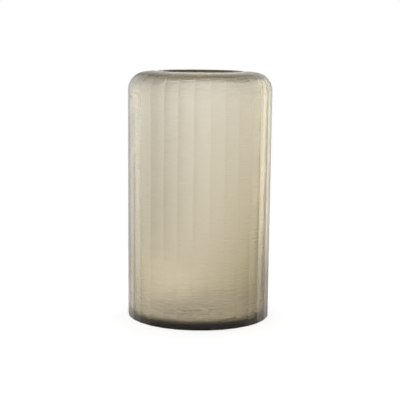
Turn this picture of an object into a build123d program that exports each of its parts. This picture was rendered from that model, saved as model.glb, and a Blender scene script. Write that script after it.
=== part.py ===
from build123d import *
import math
import os

# A tall cut-glass vase: one thick-walled blown vessel whose outside is ground into narrow
# vertical facets. They run from the foot, over the rounded shoulder, to the round mouth.
# Millimetres, +Z up. The origin is the centre of the foot, on the plane the vase stands on.

# Outside
HEIGHT = 280.0
FACET_COUNT = 30
SHOULDER_ACROSS_FLATS = 162.4
FOOT_ACROSS_FLATS = 160.8
SHOULDER_RADIUS = 20.5
TOP_SLOPE = 6.0              # degrees, the top rises this much from the shoulder to the lip
FOOT_BEVEL = 0.8

# Mouth
MOUTH_DIAMETER = 96.0
LIP_RADIUS = 2.0             # rounding of the fire-polished edge of the mouth
LIP_WIDTH = 5.0              # from the mouth's edge out to where the facets begin
LIP_FLARE = 10.0             # degrees, how the polished edge rises to meet the facets
UNDER_LIP_RADIUS = 2.0

# Glass thickness
WALL_AT_SHOULDER = 5.0
WALL_AT_FOOT = 9.5
TOP_THICKNESS = 6.0
INNER_SHOULDER_RADIUS = 12.0
FLOOR_THICKNESS = 6.0
INNER_CORNER_RADIUS = 6.0

# Underside
DISH_DIAMETER = 124.0
DISH_DEPTH = 1.0

FACET_ANGLE = 360.0 / FACET_COUNT
SHOULDER_HALF = SHOULDER_ACROSS_FLATS / 2
FOOT_HALF = FOOT_ACROSS_FLATS / 2
MOUTH_RADIUS = MOUTH_DIAMETER / 2
LIP_OUTER_RADIUS = MOUTH_RADIUS + LIP_WIDTH
TOP_GRADIENT = math.tan(math.radians(TOP_SLOPE))
FLARE_GRADIENT = math.tan(math.radians(LIP_FLARE))
ABOVE_VASE = HEIGHT + 20


def top_height(radius):
    """Height of a facet's sloping top, this far from the axis."""
    return HEIGHT - (radius - LIP_OUTER_RADIUS) * TOP_GRADIENT


def flare_height(radius):
    """Height of the polished edge of the mouth where it rises outwards to the facets."""
    return HEIGHT + (radius - LIP_OUTER_RADIUS) * FLARE_GRADIENT


def facet_pair_profile():
    """Upright outline of the vase across two opposite facets."""
    corner = top_height(SHOULDER_HALF)
    outline = Polyline(
        (FOOT_HALF - FOOT_BEVEL, 0),
        (FOOT_HALF, FOOT_BEVEL),
        (SHOULDER_HALF, corner),
        (0, top_height(0)),
        (-SHOULDER_HALF, corner),
        (-FOOT_HALF, FOOT_BEVEL),
        (FOOT_BEVEL - FOOT_HALF, 0),
        close=True,
    )
    face = make_face(Plane.XZ * outline)
    shoulders = [v for v in face.vertices() if abs(v.Z - corner) < 1e-6]
    return fillet(shoulders, SHOULDER_RADIUS)


def faceted_blank():
    """Solid vase shape: what all the facet pairs, turned about the axis, have in common."""
    slab = extrude(facet_pair_profile(), amount=SHOULDER_ACROSS_FLATS, both=True)
    # A flat faces -Y, so the first pair is turned a quarter turn from X to Y.
    blank = slab.rotate(Axis.Z, 90)
    for i in range(1, FACET_COUNT // 2):
        blank = blank & slab.rotate(Axis.Z, 90 + i * FACET_ANGLE)
    return blank


def cavity():
    """Hollow inside, with the rounded floor corner, the shoulder, and the mouth with its lip."""
    ceiling = top_height(SHOULDER_HALF) - TOP_THICKNESS
    foot_corner = (FOOT_HALF - WALL_AT_FOOT, FLOOR_THICKNESS)
    shoulder_corner = (SHOULDER_HALF - WALL_AT_SHOULDER, ceiling)
    under_lip = (MOUTH_RADIUS, top_height(MOUTH_RADIUS) - TOP_THICKNESS)
    lip = (MOUTH_RADIUS, flare_height(MOUTH_RADIUS))
    outline = Polyline(
        (0, FLOOR_THICKNESS),
        foot_corner,
        shoulder_corner,
        under_lip,
        lip,
        (SHOULDER_HALF, flare_height(SHOULDER_HALF)),
        (SHOULDER_HALF, ABOVE_VASE),
        (0, ABOVE_VASE),
        close=True,
    )
    face = make_face(Plane.XZ * outline)
    roundings = [
        (foot_corner, INNER_CORNER_RADIUS),
        (shoulder_corner, INNER_SHOULDER_RADIUS),
        (under_lip, UNDER_LIP_RADIUS),
        (lip, LIP_RADIUS),
    ]
    for (x, z), radius in roundings:
        corner = face.vertices().sort_by_distance((x, 0, z))[0]
        face = fillet(corner, radius)
    return revolve(face, Axis.Z)


def underside_dish():
    """Shallow hollow ground into the underside, which leaves a flat ring to stand on."""
    edge = (DISH_DIAMETER / 2, 0)
    top = (0, DISH_DEPTH)
    outline = Curve() + [TangentArc(top, edge, tangent=(1, 0)), Polyline(edge, (0, 0), top)]
    return revolve(make_face(Plane.XZ * outline), Axis.Z)


def glass_body():
    return faceted_blank() - cavity() - underside_dish()


os.makedirs("parts", exist_ok=True)
export_step(glass_body(), "parts/glass_body.step")
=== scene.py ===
import math

import bpy
import numpy as np
from mathutils import Matrix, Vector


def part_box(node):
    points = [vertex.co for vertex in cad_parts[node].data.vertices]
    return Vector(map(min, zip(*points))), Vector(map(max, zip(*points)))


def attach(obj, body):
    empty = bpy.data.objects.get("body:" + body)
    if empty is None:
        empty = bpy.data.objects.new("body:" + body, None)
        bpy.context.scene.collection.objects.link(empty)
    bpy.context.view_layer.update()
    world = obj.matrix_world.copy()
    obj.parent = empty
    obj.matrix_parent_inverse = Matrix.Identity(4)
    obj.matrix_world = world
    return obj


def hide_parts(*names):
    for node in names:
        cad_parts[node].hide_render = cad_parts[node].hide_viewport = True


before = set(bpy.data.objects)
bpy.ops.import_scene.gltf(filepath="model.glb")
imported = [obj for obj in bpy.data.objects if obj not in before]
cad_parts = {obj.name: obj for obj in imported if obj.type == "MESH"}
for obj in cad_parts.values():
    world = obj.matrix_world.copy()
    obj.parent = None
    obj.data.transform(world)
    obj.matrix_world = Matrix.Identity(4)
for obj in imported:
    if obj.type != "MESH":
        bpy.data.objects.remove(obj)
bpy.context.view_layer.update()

MM = 0.001
WHITE = (1, 1, 1, 1)

# ---------------------------------------------------------------------------------------------
# Driving sizes, in metres, the same as the CAD part's
# ---------------------------------------------------------------------------------------------
cad_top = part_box("glass_body")[1]
HEIGHT = cad_top.z
FACETS = 30
FACET_ANGLE = 2 * math.pi / FACETS
# Half the width across the flats. The rounding of the shoulder takes the widest place away
SHOULDER_HALF = cad_top.y + 0.05 * MM
FOOT_HALF = SHOULDER_HALF - 0.8 * MM
SHOULDER_RADIUS = 20.5 * MM
SHOULDER_START = HEIGHT - SHOULDER_RADIUS
TOP_SLOPE = math.radians(6)
FOOT_BEVEL = 0.8 * MM
FOOT_EDGE_RADIUS = 0.3 * MM

MOUTH_RADIUS = 48 * MM
LIP_WIDTH = 5 * MM
LIP_RADIUS = 2 * MM
UNDER_LIP_RADIUS = 2 * MM

WALL_AT_SHOULDER = 5 * MM
WALL_AT_FOOT = 9.5 * MM
TOP_THICKNESS = 6 * MM
INNER_SHOULDER_RADIUS = 12 * MM
FLOOR_THICKNESS = 6 * MM
INNER_CORNER_RADIUS = 6 * MM

DISH_RADIUS = 62 * MM
DISH_DEPTH = 1 * MM

# ---------------------------------------------------------------------------------------------
# What a hand-made vase adds
# ---------------------------------------------------------------------------------------------
# How uneven the facets are: their bearing, its drift along the facet, and how deep they are cut
FACET_TURN = math.radians(0.5)
FACET_WANDER = math.radians(0.06)
FACET_DEPTH = 0.07 * MM
EDGE_SOFTNESS = 0.05 * MM
# From round to faceted, and from polished to ground: over these radii, from the lip outwards
FACETS_FADE = (MOUTH_RADIUS + LIP_WIDTH - 2 * MM, MOUTH_RADIUS + LIP_WIDTH + 3 * MM)
GRINDING_FADE = (MOUTH_RADIUS + 1 * MM, MOUTH_RADIUS + 4 * MM)
# How high the waves of the cavity's wall and floor are, and the heights over which they fade
WALL_WAVE = 0.08 * MM
FLOOR_WAVE = 0.15 * MM
WALL_WAVE_RISE = (20 * MM, 40 * MM)
WALL_WAVE_FALL = (HEIGHT - 40 * MM, HEIGHT - 15 * MM)
FLOOR_WAVE_FALL = (FLOOR_THICKNESS, FLOOR_THICKNESS + 5 * MM)
# How many waves there are in a sum, and the longest and the shortest
FACET_WAVES = (3, 300 * MM, 90 * MM)
WALL_WAVES = (16, 90 * MM, 25 * MM)
FLOOR_WAVES = (16, 40 * MM, 8 * MM)
# How far the cavity is off the axis, at the shoulder and at the foot, and where it is on it again
CAVITY_LEAN = (1.0 * MM, 2.6 * MM)
LEAN_FALL = (SHOULDER_START, HEIGHT - 9 * MM)

# ---------------------------------------------------------------------------------------------
# How finely the skin is cut
# ---------------------------------------------------------------------------------------------
OUTER_STEP = 3 * MM
INNER_STEP = 3.5 * MM
ARC_STEP = math.radians(7)
# Places across a facet, from its first edge, closer together at the edges
COLUMNS = np.array([0, 0.03, 0.06, 0.12, 0.25, 0.42, 0.58, 0.75, 0.88, 0.94, 0.97])
# The outer and the inner outline meet inside the mouth, this high
MEETING_HEIGHT = HEIGHT - 5 * MM
# The inside is divided as the outside is at this ring, on the wall
INNER_BEARINGS_RING = 40

rng = np.random.default_rng(7)


def rounded(points, radii, step):
    """Outline through the points, its corners rounded. Radius 0 keeps a corner sharp.

    Straight runs are cut about every step, and each rounding about every ARC_STEP.
    """
    out = [np.array(points[0], float)]

    def run_to(end):
        start = out[-1]
        length = np.linalg.norm(end - start)
        n = max(1, round(length / step))
        out.extend(start + (end - start) * i / n for i in range(1, n + 1))

    for i in range(1, len(points) - 1):
        before, at, after = (np.array(points[j], float) for j in (i - 1, i, i + 1))
        radius = radii[i]
        if radius == 0:
            run_to(at)
            continue
        u = (before - at) / np.linalg.norm(before - at)
        v = (after - at) / np.linalg.norm(after - at)
        half = math.acos(np.clip(u @ v, -1, 1)) / 2
        arc_start = at + u * radius / math.tan(half)
        centre = at + (u + v) / np.linalg.norm(u + v) * radius / math.sin(half)
        run_to(arc_start)
        arm = arc_start - centre
        turn = math.pi - 2 * half
        sign = math.copysign(1, arm[1] * u[0] - arm[0] * u[1])
        n = max(2, round(turn / ARC_STEP))
        for k in range(1, n + 1):
            c, s = math.cos(sign * turn * k / n), math.sin(sign * turn * k / n)
            out.append(centre + np.array([c * arm[0] - s * arm[1], s * arm[0] + c * arm[1]]))
    run_to(np.array(points[-1], float))
    return np.array(out)


def top_height(radius):
    """Height of the gently sloping top, which is level with the lip at the lip's outer edge."""
    return HEIGHT - (radius - MOUTH_RADIUS - LIP_WIDTH) * math.tan(TOP_SLOPE)


def outer_profile():
    """From the underside's centre out, up the wall, over the shoulder and the lip, to the mouth."""
    points = [
        (0, DISH_DEPTH),
        (DISH_RADIUS, 0),
        (FOOT_HALF - FOOT_BEVEL, 0),
        (FOOT_HALF, FOOT_BEVEL),
        (SHOULDER_HALF, top_height(SHOULDER_HALF)),
        (MOUTH_RADIUS, HEIGHT),
        (MOUTH_RADIUS, MEETING_HEIGHT),
    ]
    radii = [0, 0, FOOT_EDGE_RADIUS, FOOT_EDGE_RADIUS, SHOULDER_RADIUS, LIP_RADIUS, 0]
    return rounded(points, radii, OUTER_STEP)


def inner_profile():
    """From the mouth in under the lip, round the shoulder, down the wall and across the floor."""
    points = [
        (MOUTH_RADIUS, MEETING_HEIGHT),
        (MOUTH_RADIUS, top_height(MOUTH_RADIUS) - TOP_THICKNESS),
        (SHOULDER_HALF - WALL_AT_SHOULDER, top_height(SHOULDER_HALF) - TOP_THICKNESS),
        (FOOT_HALF - WALL_AT_FOOT, FLOOR_THICKNESS),
        (0, FLOOR_THICKNESS),
    ]
    radii = [0, UNDER_LIP_RADIUS, INNER_SHOULDER_RADIUS, INNER_CORNER_RADIUS, 0]
    return rounded(points, radii, INNER_STEP)


def smooth_step(x, start, end):
    """0 up to start, 1 from end on, smooth between."""
    t = np.clip((x - start) / (end - start), 0, 1)
    return t * t * (3 - 2 * t)


def between(pair, share):
    """The pair's first value at share 0, its second at share 1."""
    return pair[0] + (pair[1] - pair[0]) * share


def waves(count, longest, shortest):
    """A smooth random function of two coordinates in metres, about 1 in size: a sum of sines."""
    lengths = np.exp(rng.uniform(math.log(shortest), math.log(longest), count))
    headings = rng.uniform(0, 2 * math.pi, count)
    phases = rng.uniform(0, 2 * math.pi, count)
    kx = 2 * math.pi / lengths * np.cos(headings)
    ky = 2 * math.pi / lengths * np.sin(headings)

    def value(x, y):
        x, y = np.asarray(x), np.asarray(y)
        total = sum(np.sin(a * x + b * y + p) for a, b, p in zip(kx, ky, phases))
        return total * math.sqrt(2 / count)

    return value


# ---------------------------------------------------------------------------------------------
# The glass body: a closed skin of rings, faceted outside and smooth inside
# ---------------------------------------------------------------------------------------------
def facet_share(radius, z):
    """1 where the outside follows its flat facets, 0 where it is round: in the dish and at the lip.

    The one point in the middle of the dish counts as 1, so it is ground, as a pontil mark is.
    """
    if z > SHOULDER_START:
        return smooth_step(radius, *FACETS_FADE)
    if z < DISH_DEPTH:
        return smooth_step(radius, DISH_RADIUS, FOOT_HALF - 2 * FOOT_BEVEL)
    return 1.0


def ground_share(radius, z):
    """1 where the outside is ground, 0 where it is polished: under the foot and at the lip."""
    if z <= FOOT_BEVEL / 2:
        return 0.0
    if z < SHOULDER_START:
        return facet_share(radius, z)
    return smooth_step(radius, *GRINDING_FADE)


def facet_edges(centres, depths):
    """Bearings of each facet's first and last edge, where its plane meets its neighbours'."""
    is_first = np.arange(FACETS) == 0
    is_last = np.arange(FACETS) == FACETS - 1
    next_centres = np.roll(centres, -1) + np.where(is_last, 2 * math.pi, 0)
    next_depths = np.roll(depths, -1)
    ends = np.arctan2(
        next_depths * np.cos(centres) - depths * np.cos(next_centres),
        depths * np.sin(next_centres) - next_depths * np.sin(centres),
    )
    # The same line has two bearings, half a turn apart: take the one between the two facets
    middle = (centres + next_centres) / 2
    ends = middle + (ends - middle + math.pi / 2) % math.pi - math.pi / 2
    starts = np.roll(ends, 1) - np.where(is_first, 2 * math.pi, 0)
    return starts, ends


def faceted_ring(radius, z, centres, depths):
    """One ring of the outside: the facets' planes cut at this height, their edges softened."""
    starts, ends = facet_edges(centres, depths)
    bearings = (starts[:, None] + COLUMNS[None, :] * (ends - starts)[:, None]).ravel()
    # Distance from the axis to each facet's plane along each bearing. Those behind don't count
    facing = np.cos(bearings[:, None] - centres[None, :])
    distance = np.where(facing > 0.5, depths[None, :] / np.maximum(facing, 0.5), math.inf)
    distance.sort(axis=1)
    nearest, second = distance[:, 0], distance[:, 1]
    at_edge = np.maximum(EDGE_SOFTNESS - np.abs(nearest - second), 0) / EDGE_SOFTNESS
    flat = nearest - at_edge**2 * EDGE_SOFTNESS / 4
    r = radius + facet_share(radius, z) * (flat - radius)
    return np.stack([r * np.cos(bearings), r * np.sin(bearings), np.full_like(bearings, z)], 1)


def outer_rings():
    """Rings from the underside's centre to the mouth, and how ground each is."""
    profile = outer_profile()
    turns = rng.normal(0, FACET_TURN, FACETS)
    offsets = rng.normal(0, FACET_DEPTH, FACETS)
    wander = [waves(*FACET_WAVES) for _ in range(FACETS)]
    straight = -math.pi / 2 + FACET_ANGLE * np.arange(FACETS)
    rings = []
    along = 0.0
    for i, (radius, z) in enumerate(profile):
        if i:
            along += np.linalg.norm(profile[i] - profile[i - 1])
        wandered = np.array([wave(along, 0.0) for wave in wander]) * FACET_WANDER
        rings.append(faceted_ring(radius, z, straight + turns + wandered, radius + offsets))
    return rings, [ground_share(radius, z) for radius, z in profile]


def inner_rings(bearings):
    """Polished rings from the mouth to the floor's centre: a blown cavity, a little wavy."""
    wall_wave = waves(*WALL_WAVES)
    floor_wave = waves(*FLOOR_WAVES)
    rings = []
    for radius, z in inner_profile()[1:]:
        x, y = radius * np.cos(bearings), radius * np.sin(bearings)
        on_wall = smooth_step(z, *WALL_WAVE_RISE) * (1 - smooth_step(z, *WALL_WAVE_FALL))
        on_floor = 1 - smooth_step(z, *FLOOR_WAVE_FALL)
        r = radius + wall_wave(x * 2 + y, z + y) * WALL_WAVE * on_wall
        heights = z + floor_wave(x, y) * FLOOR_WAVE * on_floor
        # Off the axis, more towards the foot, and back on it at the mouth
        down = (1 - smooth_step(z, 0, SHOULDER_START)) ** 3
        lean = between(CAVITY_LEAN, down) * (1 - smooth_step(z, *LEAN_FALL))
        rings.append(np.stack([r * np.cos(bearings) - lean, r * np.sin(bearings), heights], 1))
    return rings


def skin(name, rings):
    """A closed mesh through the rings. The first and last ring each shrink to one point."""
    n = len(rings[1])
    body = rings[1:-1]
    verts = [rings[0].mean(0)] + [point for ring in body for point in ring] + [rings[-1].mean(0)]
    faces = [(0, 1 + (i + 1) % n, 1 + i) for i in range(n)]
    for k in range(len(body) - 1):
        a, b = 1 + k * n, 1 + (k + 1) * n
        faces += [(a + i, a + (i + 1) % n, b + (i + 1) % n, b + i) for i in range(n)]
    last = 1 + (len(body) - 1) * n
    faces += [(last + i, last + (i + 1) % n, len(verts) - 1) for i in range(n)]
    mesh = bpy.data.meshes.new(name)
    mesh.from_pydata([tuple(map(float, v)) for v in verts], [], faces)
    mesh.shade_smooth()
    mesh.update()
    obj = bpy.data.objects.new(name, mesh)
    bpy.context.scene.collection.objects.link(obj)
    return obj


# ---------------------------------------------------------------------------------------------
# Grinding: how ground each point is, how deep its wheel marks are, and where they fall
# ---------------------------------------------------------------------------------------------
# Share of the grinding left on the edges between facets: on the body, and over the shoulder
EDGE_GROUND = (0.75, 0.25)
EDGE_GROUND_CHANGE = (HEIGHT - 50 * MM, HEIGHT - 25 * MM)
# Wheel marks: how deep they are everywhere, and how much deeper where the wheel stops.
# Each place is a height and a half width
MARKS_ON_BODY = 0.44
MARKS_AT_FOOT = 0.1
MARKS_IN_PATCHES = 0.95
MARKS_LOW_DOWN = 0.45
MARKS_AT_SHOULDER = 0.65
FOOT_PLACE = (21 * MM, 11 * MM)
LOW_PLACE = (25 * MM, 20 * MM)
SHOULDER_PLACE = (264 * MM, 16 * MM)
PATCHES = 3
PATCH_TURN = 0.11


def hump(z, place):
    """1 at the place's height, falling off over its half width."""
    height, half_width = place
    return np.exp(-(((z - height) / half_width) ** 2))


def mark_depth(x, y, z):
    """How deep the wheel marks are. One of the patches at the foot is near the front."""
    patches = 0.5 + 0.5 * np.cos(PATCHES * (np.arctan2(y, x) + math.pi / 2 + PATCH_TURN))
    at_foot = (MARKS_AT_FOOT + MARKS_IN_PATCHES * patches**2) * hump(z, FOOT_PLACE)
    elsewhere = MARKS_LOW_DOWN * hump(z, LOW_PLACE) + MARKS_AT_SHOULDER * hump(z, SHOULDER_PLACE)
    return MARKS_ON_BODY + at_foot + elsewhere


def grind(obj, ring_shares):
    """Write the grinding on the skin's points, from the share of each ring, and on its faces."""
    mesh = obj.data
    n = FACETS * len(COLUMNS)
    body_rings = len(ring_shares) - 2
    points = np.array([v.co for v in mesh.vertices])
    ground = np.repeat(ring_shares, [1] + [n] * body_rings + [1])
    marks = ground * mark_depth(*points.T)
    # The edges between facets are less ground, most of all over the shoulder
    over_shoulder = smooth_step(points[:, 2], *EDGE_GROUND_CHANGE)
    is_edge = np.arange(n) % len(COLUMNS) == 0
    on_edge = np.concatenate([[False], np.tile(is_edge, body_rings), [False]])
    ground = np.where(on_edge, ground * between(EDGE_GROUND, over_shoulder), ground)
    for label, values in (("ground", ground), ("marks", marks)):
        mesh.attributes.new(label, "FLOAT", "POINT").data.foreach_set("value", values)
    # Each facet has its own marks
    shifts = np.repeat(rng.uniform(0, 1, FACETS), len(COLUMNS))
    on_faces = np.tile(shifts, body_rings + 1)
    mesh.attributes.new("facet_shift", "FLOAT", "FACE").data.foreach_set("value", on_faces)


# ---------------------------------------------------------------------------------------------
# Node trees
# ---------------------------------------------------------------------------------------------
class Nodes:
    """Adds shader nodes to one tree. An input is given as a number, a colour or another output."""

    def __init__(self, tree):
        tree.nodes.clear()
        self.tree = tree

    def add(self, kind, inputs, **settings):
        """A node. Its inputs are a list in order, or a dictionary by name."""
        node = self.tree.nodes.new("ShaderNode" + kind)
        for name, value in settings.items():
            setattr(node, name, value)
        pairs = inputs.items() if isinstance(inputs, dict) else enumerate(inputs)
        for key, value in pairs:
            if isinstance(value, bpy.types.NodeSocket):
                self.tree.links.new(value, node.inputs[key])
            else:
                node.inputs[key].default_value = value
        return node

    def math(self, operation, *values):
        return self.add("Math", values, operation=operation).outputs[0]

    def ramp(self, value, start, end, levels=(0, 1), shape="SMOOTHSTEP"):
        """The first level up to start, the second from end on, and between them a ramp."""
        inputs = {
            "Value": value,
            "From Min": start,
            "From Max": end,
            "To Min": levels[0],
            "To Max": levels[1],
        }
        return self.add("MapRange", inputs, interpolation_type=shape).outputs["Result"]

    def mix(self, kind, share, a, b):
        """Input a at share 0, b at share 1. The kind is FLOAT, or RGBA for colours."""
        inputs = {"Factor": share, "A": a, "B": b}
        return self.add("Mix", inputs, data_type=kind).outputs["Result"]

    def attribute(self, name):
        return self.add("Attribute", {}, attribute_name=name).outputs["Fac"]

    def is_camera_ray(self):
        return self.add("LightPath", {}).outputs["Is Camera Ray"]


def node_material(name):
    material = bpy.data.materials.new(name)
    material.use_nodes = True
    return material, Nodes(material.node_tree)


# ---------------------------------------------------------------------------------------------
# Smoky glass
# ---------------------------------------------------------------------------------------------
IOR = 1.5
# Roughness
POLISHED = 0.05
GROUND = 0.37
TINT = (0.55, 0.47, 0.23, 1)
TINT_DENSITY = 80
# Noise for the marks' relief and for their grey: its scale, and how far it is squeezed sideways
RELIEF_NOISE = (520, 0.12)
GREY_NOISE = (460, 0.2)
RELIEF_HEIGHT = 1.1 * MM
# The noise is grey up to the first level and clear from the second on
GREY_LEVELS = (0.32, 0.74)
MARK_GREY = (0.2, 0.2, 0.22, 1)
# Marks up to the first depth hold the first share of the grey, from the second on all of it
GREY_DEPTHS = (0.95, 2.1)
GREY_SHARES = (0.03, 1)


def smoky_glass():
    """Tinted glass, polished or ground, with wheel marks that run across each facet."""
    material, nodes = node_material("smoky_glass")
    place = nodes.add("TexCoord", {}).outputs["Object"]
    moved = nodes.add("VectorMath", [place, nodes.attribute("facet_shift")]).outputs["Vector"]
    marks = nodes.attribute("marks")

    def noise(scale, sideways):
        """Noise drawn out sideways: the smaller that number, the longer the strokes."""
        mapping = {"Vector": moved, "Scale": (sideways, sideways, 1)}
        stretched = nodes.add("Mapping", mapping).outputs["Vector"]
        inputs = {"Vector": stretched, "Scale": scale, "Detail": 2}
        return nodes.add("TexNoise", inputs).outputs["Fac"]

    relief = nodes.math("MULTIPLY", noise(*RELIEF_NOISE), marks)
    bump = nodes.add("Bump", {"Strength": 1, "Distance": RELIEF_HEIGHT, "Height": relief})
    # The marks hold a little grey, the deepest most
    strokes = nodes.ramp(noise(*GREY_NOISE), *GREY_LEVELS, (1, 0), "LINEAR")
    share = nodes.ramp(marks, *GREY_DEPTHS, GREY_SHARES, "LINEAR")
    grey = nodes.math("MULTIPLY", strokes, share)
    finish = nodes.ramp(nodes.attribute("ground"), 0, 1, (POLISHED, GROUND), "LINEAR")
    surface = {
        "Base Color": nodes.mix("RGBA", grey, WHITE, MARK_GREY),
        "Roughness": finish,
        "IOR": IOR,
        "Transmission Weight": 1,
        "Normal": bump.outputs["Normal"],
    }
    glass = nodes.add("BsdfPrincipled", surface)
    tint = nodes.add("VolumeAbsorption", {"Color": TINT, "Density": TINT_DENSITY})
    outputs = {"Surface": glass.outputs["BSDF"], "Volume": tint.outputs["Volume"]}
    nodes.add("OutputMaterial", outputs)
    return material


glass_rings, glass_shares = outer_rings()
wall_ring = glass_rings[INNER_BEARINGS_RING]
cavity_rings = inner_rings(np.arctan2(wall_ring[:, 1], wall_ring[:, 0]))
glass_body = skin("vase_glass", glass_rings + cavity_rings)
grind(glass_body, glass_shares + [0.0] * len(cavity_rings))
glass_body.data.materials.append(smoky_glass())
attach(glass_body, "root")
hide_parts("glass_body")

# ---------------------------------------------------------------------------------------------
# Table: white acrylic, lit a little from below. The camera sees it plain and even.
# The vase sees it a little warm, with a painted pool of light behind and a painted shadow along the
# front of the foot
# ---------------------------------------------------------------------------------------------
FLOOR_GAP = 0.1 * MM
FLOOR_RADIUS = 0.42
FLOOR_SIDES = 96
TABLE_GREY = 0.5
TABLE_GLOW = 0.68
TABLE_TONE = (1, 0.96, 0.91, 1)
# The painted pool of light, a brighter glow on the table with no lamp: its place, the distances
# over which it falls off, and the level at each
PAINTED_LIGHT_SPOT = (-0.09, 0.11, 0)
PAINTED_LIGHT_FALL = (0.02, 0.13)
PAINTED_LIGHT_LEVELS = (1.5, 0.74)
# The painted shadow, put into the table's glow and grey: the distances from the axis over which it
# comes in and goes out again, how far before the axis it starts and is whole, and what it adds to
# the glow (as a share) and the grey
VASE_AXIS = (0, 0, 0)
SHADOW_RISE = (0.035, 0.06)
SHADOW_FALL = (0.09, 0.11)
SHADOW_FRONT = (-0.025, -0.07)
SHADOW_ON_GLOW = -0.85
SHADOW_ON_GREY = -0.4


def floor_material():
    material, nodes = node_material("studio_floor")
    place = nodes.add("TexCoord", {}).outputs["Object"]
    to_camera = nodes.is_camera_ray()

    def level_round(spot, near, far, levels):
        """The first level nearer to the spot than near, the second further away than far."""
        away = nodes.add("VectorMath", [place, spot], operation="DISTANCE").outputs["Value"]
        return nodes.ramp(away, near, far, levels)

    # Painted shadow: the table is darker in a crescent along the front of the foot, for the vase
    # only
    rise = level_round(VASE_AXIS, *SHADOW_RISE, (0, 1))
    fall = level_round(VASE_AXIS, *SHADOW_FALL, (1, 0))
    front = nodes.ramp(nodes.add("SeparateXYZ", [place]).outputs["Y"], *SHADOW_FRONT)
    shadow = nodes.math("MULTIPLY", nodes.math("MULTIPLY", rise, fall), front)
    # Painted pool of light: the table glows brighter round a spot behind the vase, for the vase
    # only
    painted_light_pool = level_round(PAINTED_LIGHT_SPOT, *PAINTED_LIGHT_FALL, PAINTED_LIGHT_LEVELS)
    # The glow the vase sees: the painted pool of light, dimmed by the painted shadow
    painted_glow = nodes.math("MULTIPLY", painted_light_pool, nodes.math("MULTIPLY_ADD", shadow, SHADOW_ON_GLOW, 1))
    # The painted shadow also darkens the table's grey, for the vase only
    shaded_grey = nodes.math("MULTIPLY_ADD", shadow, SHADOW_ON_GREY, TABLE_GREY)
    even_grey = (TABLE_GREY, TABLE_GREY, TABLE_GREY, 1)
    surface = {
        "Base Color": nodes.mix("RGBA", to_camera, shaded_grey, even_grey),
        "Roughness": 0.9,
        "Emission Color": nodes.mix("RGBA", to_camera, TABLE_TONE, WHITE),
        "Emission Strength": nodes.mix("FLOAT", to_camera, painted_glow, TABLE_GLOW),
    }
    paint = nodes.add("BsdfPrincipled", surface)
    nodes.add("OutputMaterial", {"Surface": paint.outputs["BSDF"]})
    return material


def round_floor():
    corners = np.linspace(0, 2 * math.pi, FLOOR_SIDES + 1)[:-1]
    rim = [(FLOOR_RADIUS * math.cos(t), FLOOR_RADIUS * math.sin(t), 0) for t in corners]
    mesh = bpy.data.meshes.new("studio_floor")
    mesh.from_pydata(rim, [], [tuple(range(FLOOR_SIDES))])
    mesh.materials.append(floor_material())
    obj = bpy.data.objects.new("studio_floor", mesh)
    obj.location.z = -FLOOR_GAP
    bpy.context.scene.collection.objects.link(obj)
    return obj


floor = round_floor()

# ---------------------------------------------------------------------------------------------
# Backdrop: soft panels round the table, which the vase sees. The camera sees plain white
# ---------------------------------------------------------------------------------------------
BACKDROP = 0.93
# What the light from overhead adds, and the elevations in degrees between which it comes in
CEILING = -0.25
CEILING_START, CEILING_END = 8, 35
# The panels' lowest and highest elevation and their softness, in degrees
WALL_REACH = (-30, 28, 10)
# Bearings in degrees from straight behind the vase, softness, colour, and the level each adds
PANELS = [
    (-85, -16, 4, (1, 1, 1), 0.6),
    (-68, -42, 8, (1, 1, 1), 0.5),
    (-15, -5, 4, (1, 1, 1), -0.5),
    (-3, 76, 4, (1, 0.98, 0.95), 0.3),
    (26, 76, 6, (1, 0.96, 0.87), 0.5),
    (34, 60, 8, (1, 0.96, 0.87), 1.2),
    (85, 145, 8, (1, 1, 1), -0.2),
]


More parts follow.
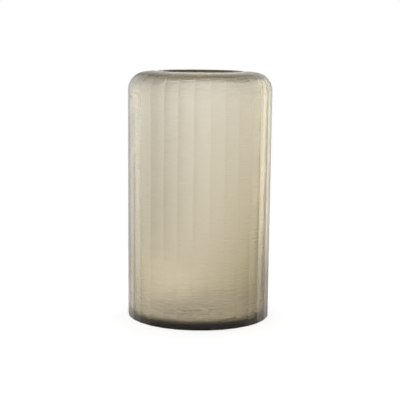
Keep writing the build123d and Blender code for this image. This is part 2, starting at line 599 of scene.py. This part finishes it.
def studio_world():
    world = bpy.data.worlds.new("studio")
    world.use_nodes = True
    nodes = Nodes(world.node_tree)
    direction = nodes.add("TexCoord", {}).outputs["Generated"]
    axes = nodes.add("SeparateXYZ", [direction]).outputs
    bearing = nodes.math("ARCTAN2", axes["X"], axes["Y"])
    elevation = nodes.math("ARCSINE", axes["Z"])

    def band(angle, start, end, softness):
        """1 between start and end, 0 outside, in degrees, with soft edges."""
        edges = (
            nodes.ramp(angle, math.radians(edge - softness), math.radians(edge + softness))
            for edge in (start, end)
        )
        return nodes.math("SUBTRACT", *edges)

    def coloured(colour, level):
        inputs = {0: colour, "Scale": level}
        return nodes.add("VectorMath", inputs, operation="SCALE").outputs[0]

    overhead = nodes.ramp(elevation, math.radians(CEILING_START), math.radians(CEILING_END))
    light = coloured((1, 1, 1), nodes.math("MULTIPLY_ADD", overhead, CEILING, BACKDROP))
    reach = band(elevation, *WALL_REACH)
    for start, end, softness, colour, level in PANELS:
        panel = nodes.math("MULTIPLY", band(bearing, start, end, softness), reach)
        panel_light = coloured(tuple(c * level for c in colour), panel)
        light = nodes.add("VectorMath", [light, panel_light]).outputs[0]
    seen = nodes.mix("RGBA", nodes.is_camera_ray(), light, WHITE)
    background = nodes.add("Background", {"Color": seen})
    nodes.add("OutputWorld", {"Surface": background.outputs["Background"]})
    return world


# ---------------------------------------------------------------------------------------------
# Camera and render settings
# ---------------------------------------------------------------------------------------------
CAMERA_DISTANCE = 1.328
CAMERA_HEIGHT = 0.3247
CAMERA_AZIMUTH = math.radians(-1.6)
CAMERA_PAN = -0.0006
CAMERA_PITCH = math.radians(8.22)
CAMERA_ROLL = math.radians(0.6)
LENS = 105.46
SENSOR_WIDTH = 36
# Light crosses four faces of glass on its way, and is reflected to and fro inside the walls
GLASS_BOUNCES = 32


def studio_camera():
    data = bpy.data.cameras.new("camera")
    data.sensor_width = SENSOR_WIDTH
    data.lens = LENS
    obj = bpy.data.objects.new("camera", data)
    obj.matrix_world = (
        Matrix.Rotation(CAMERA_AZIMUTH, 4, "Z")
        @ Matrix.Translation((0, -CAMERA_DISTANCE, CAMERA_HEIGHT))
        @ Matrix.Rotation(CAMERA_PAN, 4, "Z")
        @ Matrix.Rotation(math.pi / 2 - CAMERA_PITCH, 4, "X")
        @ Matrix.Rotation(CAMERA_ROLL, 4, "Z")
    )
    bpy.context.scene.collection.objects.link(obj)
    return obj


scene = bpy.context.scene
scene.world = studio_world()
scene.camera = studio_camera()
scene.view_settings.view_transform = "Standard"
scene.cycles.use_denoising = True
scene.cycles.max_bounces = GLASS_BOUNCES
scene.cycles.transmission_bounces = GLASS_BOUNCES
scene.cycles.glossy_bounces = 16
scene.cycles.diffuse_bounces = 6
